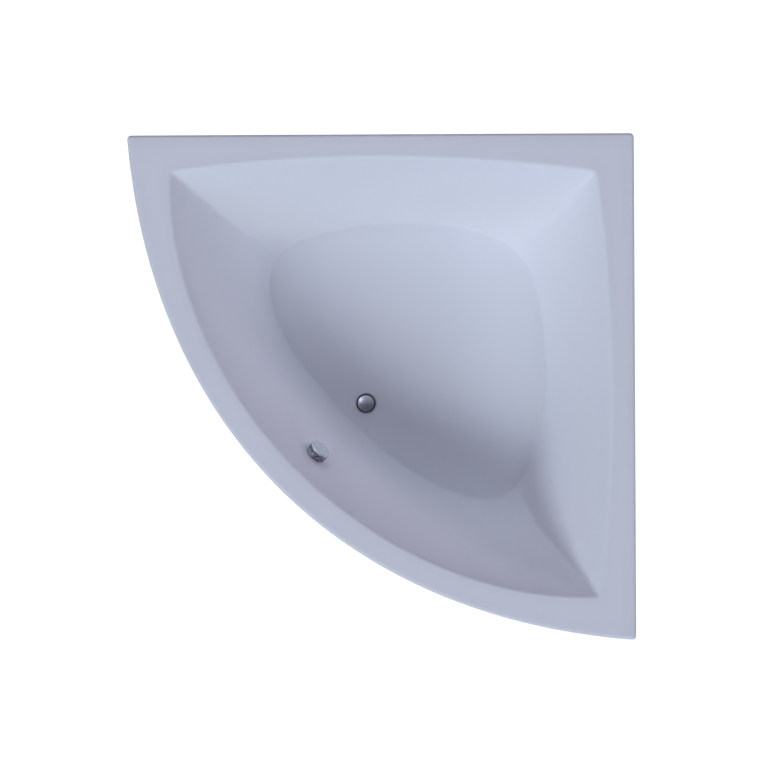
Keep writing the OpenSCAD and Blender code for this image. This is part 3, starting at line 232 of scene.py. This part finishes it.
def chipboard():
    """Pressed wood chips: pale flakes with darker ones among them."""
    mat, tree, shader = new_material("timber")
    chips = cells(tree, place(tree, (1, 1.8, 1.4)), 170.0)
    tone = ramp(tree, chips, [
        (0.0, (0.33, 0.20, 0.10)), (0.35, (0.56, 0.39, 0.21)),
        (0.7, (0.66, 0.49, 0.29)), (1.0, (0.74, 0.59, 0.38))])
    tree.links.new(tone, shader.inputs["Base Color"])
    shader.inputs["Roughness"].default_value = 0.75
    bump(tree, shader, noise(tree, place(tree), 380.0, 4, 0.6), 0.35, 0.001)
    return mat


MATERIALS = {
    "acrylic": acrylic(),
    "chrome": chrome(),
    "satin_chrome": chrome("satin_chrome", (0.60, 0.61, 0.66), 0.34, 0.42),
    # painted shade: a darkened copy of the chrome, for the plug's dim reflections low in the
    # basin's shade
    "plug_chrome_painted_shade": chrome("plug_chrome_painted_shade", (0.40, 0.41, 0.46), 0.26, 0.34),
    # painted shade: a darkened copy of the chrome, for the overflow plate in the shade behind
    # the knob
    "painted_shade_chrome": chrome("painted_shade_chrome", (0.42, 0.43, 0.47), 0.12, 0.2),
    "knurled_chrome_painted_glints": knurled(),
    "zinc": zinc(),
    "timber": chipboard(),
    "frame_steel": moulded("frame_steel", (0.045, 0.047, 0.052), (0.07, 0.073, 0.08),
                           (0.38, 0.5), 1500.0),
    "pad_rubber": moulded("pad_rubber", (0.012, 0.012, 0.013), (0.026, 0.026, 0.028),
                          (0.6, 0.8), 700.0),
    "rubber": moulded("rubber", (0.012, 0.012, 0.014), (0.022, 0.022, 0.025),
                      (0.5, 0.7), 700.0),
    "black_plastic": moulded("black_plastic", (0.018, 0.018, 0.02), (0.03, 0.03, 0.033)),
    "white_plastic": moulded("white_plastic", (0.66, 0.66, 0.64), (0.74, 0.74, 0.72)),
    "hose_grey": moulded("hose_grey", (0.22, 0.23, 0.25), (0.3, 0.31, 0.33)),
}


# ---------------------------------------------------------------- mesh tools

SHARP = 40.0


def build(name, points, faces, sharp=SHARP):
    """A mesh piece with smooth faces, but sharp edges over an angle."""
    mesh = bpy.data.meshes.new(name)
    mesh.from_pydata([tuple(p) for p in points], [], [tuple(f) for f in faces])
    mesh.update()
    piece = bpy.data.objects.new(name, mesh)
    bpy.context.scene.collection.objects.link(piece)
    smooth(mesh, sharp)
    return piece


def smooth(mesh, sharp):
    bm = bmesh.new()
    bm.from_mesh(mesh)
    bmesh.ops.recalc_face_normals(bm, faces=bm.faces)
    limit = math.radians(sharp)
    for face in bm.faces:
        face.smooth = True
    for edge in bm.edges:
        if len(edge.link_faces) == 2:
            edge.smooth = edge.calc_face_angle(0.0) < limit
    bm.to_mesh(mesh)
    bm.free()


def finish_piece(piece, node_names, slot, body, material=None):
    piece.data.materials.clear()
    piece.data.materials.append(material or MATERIALS[slot])
    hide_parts(*node_names)
    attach(piece, body)


def lathe(name, profile, matrix, steps=128, sharp=SHARP, flutes=0):
    """A closed profile of (radius, height) in mm, turned about matrix's z.

    A third value is the depth of the flutes at that point of the profile.
    """
    points, rows = [], []
    for r, z, *flute in profile:
        if r == 0:
            rows.append([len(points)] * steps)
            points.append(matrix @ Vector((0, 0, z * MM)))
            continue
        rows.append(list(range(len(points), len(points) + steps)))
        for k in range(steps):
            a = 2 * math.pi * k / steps
            near = r - sum(flute) * abs(math.sin(flutes * a / 2))
            points.append(matrix @ (Vector((near * math.cos(a), near * math.sin(a), z)) * MM))
    faces = []
    for i, row in enumerate(rows):
        after = rows[(i + 1) % len(rows)]
        for k in range(steps):
            j = (k + 1) % steps
            face = [row[k], row[j], after[j], after[k]]
            face = [v for n, v in enumerate(face) if v != face[n - 1]]
            if len(face) > 2:
                faces.append(face)
    return build(name, points, faces, sharp)


def rounded(points, radius, steps=4):
    """A closed profile with each corner given a small round."""
    out = []
    pts = [np.array(p, float) for p in points]
    for i, p in enumerate(pts):
        a, b = pts[i - 1] - p, pts[(i + 1) % len(pts)] - p
        la, lb = np.linalg.norm(a), np.linalg.norm(b)
        if p[0] == 0 or radius == 0:
            out.append(tuple(p))
            continue
        cut = min(radius, la * 0.4, lb * 0.4)
        start, end = p + a / la * cut, p + b / lb * cut
        for k in range(steps + 1):
            t = k / steps
            q = (1 - t) ** 2 * start + 2 * t * (1 - t) * p + t * t * end
            out.append(tuple(q))
    return out


# ---------------------------------------------------------------- tub shell

def flip(path):
    """A plan curve mirrored in the bath's middle line, and run the other way."""
    return np.array([p[::-1] for p in path[::-1]])


def cubic(c, t):
    """The point, or points, at share t of a curve with four control points."""
    t = np.asarray(t, float)[..., None]
    u = 1 - t
    return u ** 3 * c[0] + 3 * u ** 2 * t * c[1] + 3 * u * t * t * c[2] + t ** 3 * c[3]


def ray(r, a):
    return r * np.array([math.cos(math.radians(a)), math.sin(math.radians(a))])


def front_curve(tip, way):
    """From the right tip to its mirror point: way leads from the tip to its handle."""
    handle = tip + way
    return np.array([tip, handle, handle[::-1], tip[::-1]])


def dipped_side(back, tip, mid_y, share):
    """From the back corner to the right tip, through mid_y at the middle."""
    dip = (8 * mid_y - back[1] - tip[1]) / 6
    part = (tip[0] - back[0]) * share
    return np.array([back, [back[0] + part, dip], [tip[0] - part, dip], tip])


outer_side = np.array([[0, 0], [SIDE / 3, 0], [SIDE * 2 / 3, 0], [SIDE, 0]], float)
outer_tip = np.array([SIDE, 0.0])
outer_front = front_curve(outer_tip, ray(SIDE * FRONT_HANDLE_SHARE, FRONT_ANGLE))

mouth_back = np.array([MOUTH_CORNER] * 2)
mouth_tip = np.array([SIDE - END_RIM_W, END_RIM_IN])
mouth_side = dipped_side(mouth_back, mouth_tip, SIDE_RIM_W, MOUTH_SIDE_SHARE)
mouth_span = mouth_tip[0] - mouth_tip[1]
mouth_front = front_curve(mouth_tip, ray(mouth_span * MOUTH_HANDLE_SHARE, MOUTH_ANGLE))

floor_back = mouth_back + FLOOR_BACK_RUN
floor_tip = mouth_tip + np.array([-FLOOR_TIP_RUN, FLOOR_TIP_DROP])
floor_len = floor_tip[0] - floor_back[0]
floor_side = np.array([floor_back, floor_back + ray(floor_len * FLOOR_BACK_SHARE, -DIAGONAL),
                       floor_tip - ray(floor_len * FLOOR_TIP_SHARE, DIAGONAL), floor_tip])
floor_front = front_curve(floor_tip, ray(floor_len * FLOOR_FRONT_SHARE, DIAGONAL))


def mid_p(c):
    """How far a front curve's middle is from the back corner."""
    return float(np.linalg.norm(cubic(c, 0.5)))


# The outline that the walls would have at floor level if no crease faded
crease_back = mouth_back + CREASE_BACK_RUN
crease_tip = mouth_tip + np.array([-CREASE_TIP_RUN, CREASE_TIP_DROP])
crease_side = dipped_side(crease_back, crease_tip, cubic(floor_side, 0.5)[1], 1 / 3)
crease_reach = mid_p(floor_front) - crease_tip.sum() / math.sqrt(2)
crease_lean = math.cos(math.radians(CREASE_ANGLE - DIAGONAL))
crease_front = front_curve(crease_tip, ray(4 / 3 * crease_reach / crease_lean, CREASE_ANGLE))


def near_shares(side, front, length):
    """The shares of the side and front curves that a corner's rounding takes."""
    return [length / 3 / np.linalg.norm(c[1] - c[0]) for c in (side, front)]


# The handle's share of the radius, where a cubic curve stands for a quarter circle
ARC_SHARE = 0.5523


def around(side, front, shares, round_corners=True):
    """Points round a closed plan curve, closer and rounded at its corners."""
    curves = [side, front, flip(side)]
    counts = [SIDE_N, FRONT_N, SIDE_N]
    cuts = [shares[0], shares[1], shares[0]]
    pts = []
    for k in range(3):
        before, here, end, start = curves[k - 1], curves[k], cuts[k - 1], cuts[k]
        a, b, tip = cubic(before, 1 - end), cubic(here, start), here[0]
        arc = np.array([a, a + (tip - a) * ARC_SHARE, b + (tip - b) * ARC_SHARE, b])
        for j in range(CORNER_N + 1):
            s = j / CORNER_N
            if round_corners:
                pts.append(cubic(arc, s))
            elif s < 0.5:
                pts.append(cubic(before, 1 - end + 2 * s * end))
            else:
                pts.append(cubic(here, (2 * s - 1) * start))
        n = counts[k]
        pts.extend(cubic(here, i / n) for i in range(1, n))
    return np.array(pts)


def inset(pts, d):
    """A closed plan outline moved in by d."""
    e1 = pts - np.roll(pts, 1, 0)
    e2 = np.roll(pts, -1, 0) - pts
    n1 = np.stack([-e1[:, 1], e1[:, 0]], 1) / np.linalg.norm(e1, axis=1)[:, None]
    n2 = np.stack([-e2[:, 1], e2[:, 0]], 1) / np.linalg.norm(e2, axis=1)[:, None]
    k = n1 + n2
    k /= np.linalg.norm(k, axis=1)[:, None]
    return pts + k * d / (k * n1).sum(1)[:, None]


outer_ring = around(outer_side, outer_front, near_shares(outer_side, outer_front, CORNER_LEN))
mouth_shares = near_shares(mouth_side, mouth_front, MOUTH_CORNER_LEN)
mouth_ring = around(mouth_side, mouth_front, mouth_shares)
floor_ring = around(floor_side, floor_front, mouth_shares, False)
crease_ring = around(crease_side, crease_front, mouth_shares)
HALF = (cad_box[1][0] - cad_box[0][0]) / 2 / MM


def wall_angle(w):
    """The slope of a wall that runs in by w, from the rim's roll to the floor's fillet."""
    return np.arctan2(DEPTH, w - ROLL_R * np.tan(np.arctan2(DEPTH, w) / 2))


run = floor_ring - mouth_ring
run_w = np.linalg.norm(run, axis=1)
run_d = run / run_w[:, None]
lean = wall_angle(run_w)


def row(plan, z):
    """Plan points from the back corner, as points round the bath's middle."""
    out = np.empty((len(plan), 3))
    out[:, :2] = HALF - plan
    out[:, 2] = z
    return out


def roll_row(s, r):
    f = lean * s
    return row(mouth_ring + run_d * (r * np.sin(f))[:, None], RIM_Z - ROLL_R + r * np.cos(f))


def fillet_row(s, r):
    f = lean * s
    far = run_w + FILLET * np.tan(lean / 2) - r * np.sin(f)
    return row(mouth_ring + run_d * far[:, None], FLOOR_Z + FILLET - r * np.cos(f))


def wall_row(s, t):
    """The wall at height share s, t outside its face, drawn out to its creases."""
    pts = fillet_row(1, FILLET + t) * (1 - s) + roll_row(1, ROLL_R - t) * s
    u = min(s / CREASE_FADE, 1)
    pts[:, :2] -= (crease_ring - floor_ring) * u * u * (3 - 2 * u) * (1 - s)
    return pts


def shell_rows():
    rows = [fillet_row(k / FILLET_N, FILLET) for k in range(FILLET_N + 1)]
    rows += [wall_row(k / WALL_N, 0) for k in range(1, WALL_N)]
    rows += [roll_row(k / ROLL_N, ROLL_R) for k in range(ROLL_N, -1, -1)]
    for k in range(EDGE_N + 1):
        f = math.pi / 2 * k / EDGE_N
        rows.append(row(inset(outer_ring, EDGE_R * (1 - math.sin(f))),
                        RIM_Z - EDGE_R * (1 - math.cos(f))))
    rows.append(row(outer_ring, RIM_Z - LIP_DROP))
    rows.append(row(inset(outer_ring, SHELL_T), RIM_Z - LIP_DROP))
    for k in range(EDGE_N, -1, -1):
        f = math.pi / 2 * k / EDGE_N
        rows.append(row(inset(outer_ring, EDGE_R - (EDGE_R - SHELL_T) * math.sin(f)),
                        RIM_Z - EDGE_R + (EDGE_R - SHELL_T) * math.cos(f)))
    rows += [roll_row(k / ROLL_N, ROLL_R - SHELL_T) for k in range(ROLL_N + 1)]
    rows += [wall_row(k / WALL_N, SHELL_T) for k in range(WALL_N - 1, 0, -1)]
    rows += [fillet_row(k / FILLET_N, FILLET + SHELL_T) for k in range(FILLET_N, -1, -1)]
    return rows


mouth_p, floor_p = mid_p(mouth_front), mid_p(floor_front)
waste_p = floor_p - WASTE_SETBACK
front_slope = float(wall_angle(np.array(mouth_p - floor_p)))
overflow_z = RIM_Z - OVERFLOW_DROP
overflow_p = floor_p + (overflow_z - FLOOR_Z) / math.tan(front_slope)


def diagonal(p, z, slope=None):
    """A frame at p along the middle line: its x runs to the front."""
    c = HALF * MM - p * MM / math.sqrt(2)
    turn = Matrix.Rotation(math.radians(225), 4, "Z")
    tilt = Matrix.Rotation(-slope, 4, "Y") if slope else Matrix.Identity(4)
    return Matrix.Translation((c, c, z * MM)) @ turn @ tilt


AT_WASTE = diagonal(waste_p, 0)
AT_OVERFLOW = diagonal(overflow_p, overflow_z, front_slope)


def cut_round(piece, matrix, radius, z0, z1):
    cutter = lathe("cutter", [(0, z0), (radius, z0), (radius, z1), (0, z1)], matrix, 96)
    mod = piece.modifiers.new("cut", "BOOLEAN")
    mod.operation = "DIFFERENCE"
    mod.solver = "EXACT"
    mod.object = cutter
    bpy.context.view_layer.update()
    result = bpy.data.meshes.new_from_object(
        piece.evaluated_get(bpy.context.evaluated_depsgraph_get()))
    piece.modifiers.clear()
    piece.data = result
    bpy.data.objects.remove(cutter)


def tub_shell():
    rows = shell_rows()
    n = len(outer_ring)
    points = np.concatenate(rows) * MM
    faces = []
    for r in range(len(rows) - 1):
        for i in range(n):
            j = (i + 1) % n
            faces.append((r * n + i, r * n + j, (r + 1) * n + j, (r + 1) * n + i))
    faces.append(tuple(range(n - 1, -1, -1)))
    faces.append(tuple(range((len(rows) - 1) * n, len(rows) * n)))
    piece = build("tub_skin", points, faces)
    cut_round(piece, AT_WASTE, HOLE_R, FLOOR_Z - 2 * SHELL_T, FLOOR_Z + SHELL_T)
    cut_round(piece, AT_OVERFLOW, HOLE_R, -3 * SHELL_T, 2 * SHELL_T)
    smooth(piece.data, SHARP)
    finish_piece(piece, ["tub_shell"], "acrylic", "root")


tub_shell()

# ---------------------------------------------------------------- chrome pieces

PLUG_R, PLUG_EDGE, PLUG_DOME, STEM_R = 27.0, 2.2, 4.4, 4.0
CAP_Z = FLOOR_Z + 4.3  # the plug's underside at rest
KNOB_R, KNOB_GAP, KNOB_LEN, KNOB_WALL, SHAFT_R = 32.5, 4.6, 23.5, 3.0, 5.0
KNOB_FLUTES, FLUTE_D = 14, 1.6


def plug_cap():
    """The domed plug, with a soft edge and a seat for its stem."""
    sphere_r = (PLUG_R ** 2 + PLUG_DOME ** 2) / (2 * PLUG_DOME)
    top = CAP_Z + PLUG_EDGE + PLUG_DOME
    dome = [(r, top - sphere_r + math.sqrt(sphere_r ** 2 - r ** 2))
            for r in np.linspace(0, PLUG_R - 1, 18)]
    foot = rounded([(PLUG_R, CAP_Z + PLUG_EDGE + 0.3), (PLUG_R, CAP_Z), (STEM_R, CAP_Z),
                    (STEM_R, CAP_Z + PLUG_EDGE), (0, CAP_Z + PLUG_EDGE)], 0.8)
    piece = lathe("plug_dome", dome + foot[1:], AT_WASTE)
    # the plug gets the darkened chrome: painted shade
    finish_piece(piece, ["plug_cap"], "chrome", "plug", MATERIALS["plug_chrome_painted_shade"])


def overflow_knob():
    """A fluted grip, and a smooth face with a fine groove inside its bevelled edge."""
    face, groove = KNOB_GAP + KNOB_LEN, KNOB_R - KNOB_WALL
    grip = lathe("knob_grip", [
        (groove, KNOB_GAP), (KNOB_R - 0.8, KNOB_GAP), (KNOB_R, KNOB_GAP + 0.8, FLUTE_D),
        (KNOB_R, face - 2.8, FLUTE_D), (KNOB_R - 0.2, face - 2.3, FLUTE_D / 2),
        (groove, face - 2.3)], AT_OVERFLOW, KNOB_FLUTES * 12, 20, KNOB_FLUTES)
    cap = lathe("knob_face", [
        (0, KNOB_GAP + KNOB_WALL), (2 * SHAFT_R, KNOB_GAP + KNOB_WALL),
        (2 * SHAFT_R, face - KNOB_WALL), (groove - 0.2, face - KNOB_WALL),
        (groove - 0.2, face - 2.2), (KNOB_R - 0.8, face - 2.2), (KNOB_R - 0.2, face - 1.9),
        (KNOB_R - 1.6, face - 0.2), (KNOB_R - 2, face), (groove + 0.2, face),
        (groove, face - 0.7), (groove - 0.8, face - 0.7), (groove - 1.2, face - 0.1),
        (groove - 2, face), (groove - 6, face - 0.3), (groove / 2, face - 0.6),
        (0, face - 0.7)],
        AT_OVERFLOW, sharp=25)
    knob = ["overflow_knob"]
    # the grip gets the chrome with painted reflections in its base colour
    finish_piece(grip, knob, "chrome", "overflow_knob", MATERIALS["knurled_chrome_painted_glints"])
    finish_piece(cap, knob, "chrome", "overflow_knob")


plug_cap()
overflow_knob()

# ---------------------------------------------------------------- CAD nodes

# Chrome nodes that look duller or darker in the photo. The overflow plate's chrome is a
# darkened copy: painted shade, for the shade it sits in behind the knob.
FINISH = {"waste_flange": "satin_chrome", "overflow_plate": "painted_shade_chrome"}
for entry in frame["record"]["subparts"]:
    node = nodes[entry["node"]]
    node.data.materials.clear()
    node.data.materials.append(MATERIALS[FINISH.get(entry["node"], entry["material_slot"])])

# ---------------------------------------------------------------- stage

def stage_floor():
    """A pale floor that glows for the eye, but throws little light on the bath."""
    mat, tree, shader = new_material("stage")
    shader.inputs["Base Color"].default_value = (0.25, 0.25, 0.26, 1)
    shader.inputs["Roughness"].default_value = 0.9
    shader.inputs["Emission Color"].default_value = (1, 1, 1, 1)
    path = tree.nodes.new("ShaderNodeLightPath")
    tree.links.new(path.outputs["Is Camera Ray"], shader.inputs["Emission Strength"])
    bpy.ops.mesh.primitive_plane_add(size=60, location=(0, 0, -0.0005))
    floor = bpy.context.object
    floor.name = "stage_floor"
    floor.data.materials.append(mat)


def world():
    """White for the eye. Chrome mirrors a room, paler towards the picture's top."""
    sky = bpy.data.worlds.new("studio")
    bpy.context.scene.world = sky
    sky.use_nodes = True
    tree = sky.node_tree
    path = tree.nodes.new("ShaderNodeLightPath")
    coord = tree.nodes.new("ShaderNodeTexCoord")
    axes = tree.nodes.new("ShaderNodeSeparateXYZ")
    tree.links.new(coord.outputs["Generated"], axes.inputs["Vector"])
    room = ramp(tree, spread(tree, axes.outputs["Y"], 0, 1, -0.6, 0.6), [
        (0.0, (0.10, 0.11, 0.15)), (0.45, (0.16, 0.17, 0.21)),
        (0.60, (0.36, 0.37, 0.42)), (0.78, (0.55, 0.56, 0.62)), (1.0, (0.75, 0.76, 0.82))])
    soft = tree.nodes["Background"]
    tree.links.new(room, soft.inputs["Color"])
    tree.links.new(spread(tree, path.outputs["Is Diffuse Ray"], 1.0, 0.01, 0, 1),
                   soft.inputs["Strength"])
    white = tree.nodes.new("ShaderNodeBackground")
    white.inputs["Color"].default_value = (1, 1, 1, 1)
    mix = tree.nodes.new("ShaderNodeMixShader")
    tree.links.new(path.outputs["Is Camera Ray"], mix.inputs["Fac"])
    tree.links.new(soft.outputs[0], mix.inputs[1])
    tree.links.new(white.outputs[0], mix.inputs[2])
    tree.links.new(mix.outputs[0], tree.nodes["World Output"].inputs["Surface"])


# Soft lights: where each comes from (0 right, 90 top of the picture), its height in
# degrees, and its colour
LIGHTS = {
    "key": (240, 45, (0.168, 0.190, 0.209)),
    "key_right": (285, 35, (0.133, 0.132, 0.155)),
    "key_left": (210, 35, (0.104, 0.127, 0.154)),
    "front": (270, 7, (0.050, 0.050, 0.077)),
    "low_right": (315, 20, (0.052, 0.072, 0.083)),
    "low_left": (180, 7, (0.046, 0.056, 0.070)),
    "left": (180, 20, (0.072, 0.067, 0.072)),
    "top": (90, 20, (0.072, 0.070, 0.084)),
    "top_right": (45, 20, (0.052, 0.043, 0.061)),
    "right": (0, 20, (0.072, 0.057, 0.073)),
    "overhead": (150, 60, (0.070, 0.068, 0.095)),
    "overhead_right": (30, 60, (0.040, 0.046, 0.061)),
}
LIGHT_WIDTH = 16
MIRRORED = ("key", "overhead")


def studio_lights():
    for name, (azimuth, height, colour) in LIGHTS.items():
        data = bpy.data.lights.new(name, "SUN")
        data.energy = math.pi * max(colour)
        data.angle = math.radians(LIGHT_WIDTH)
        data.color = [c / max(colour) for c in colour]
        lamp = bpy.data.objects.new(name, data)
        bpy.context.scene.collection.objects.link(lamp)
        a, h = math.radians(azimuth), math.radians(height)
        way = -Vector((math.cos(a) * math.cos(h), math.sin(a) * math.cos(h), math.sin(h)))
        lamp.rotation_euler = way.to_track_quat("-Z", "Y").to_euler()
        lamp.visible_glossy = name in MIRRORED


# The camera: metres above the rim, the picture's width at the rim, sideways shift, turn
CAMERA_UP = 3.3
VIEW_WIDTH = 768 * 2.9498 * MM
CAMERA_SHIFT = (0.0067, 0.0107)
CAMERA_TURN = -0.279
SENSOR = 36


def camera():
    data = bpy.data.cameras.new("view")
    cam = bpy.data.objects.new("view", data)
    bpy.context.scene.collection.objects.link(cam)
    bpy.context.scene.camera = cam
    data.sensor_width = SENSOR
    data.lens = SENSOR * CAMERA_UP / VIEW_WIDTH
    data.clip_end = 100
    cam.location = (*CAMERA_SHIFT, RIM_Z * MM + CAMERA_UP)
    cam.rotation_euler = (0, 0, math.radians(CAMERA_TURN))


stage_floor()
world()
studio_lights()
camera()
scene = bpy.context.scene
scene.view_settings.view_transform = "Standard"
scene.view_settings.look = "None"
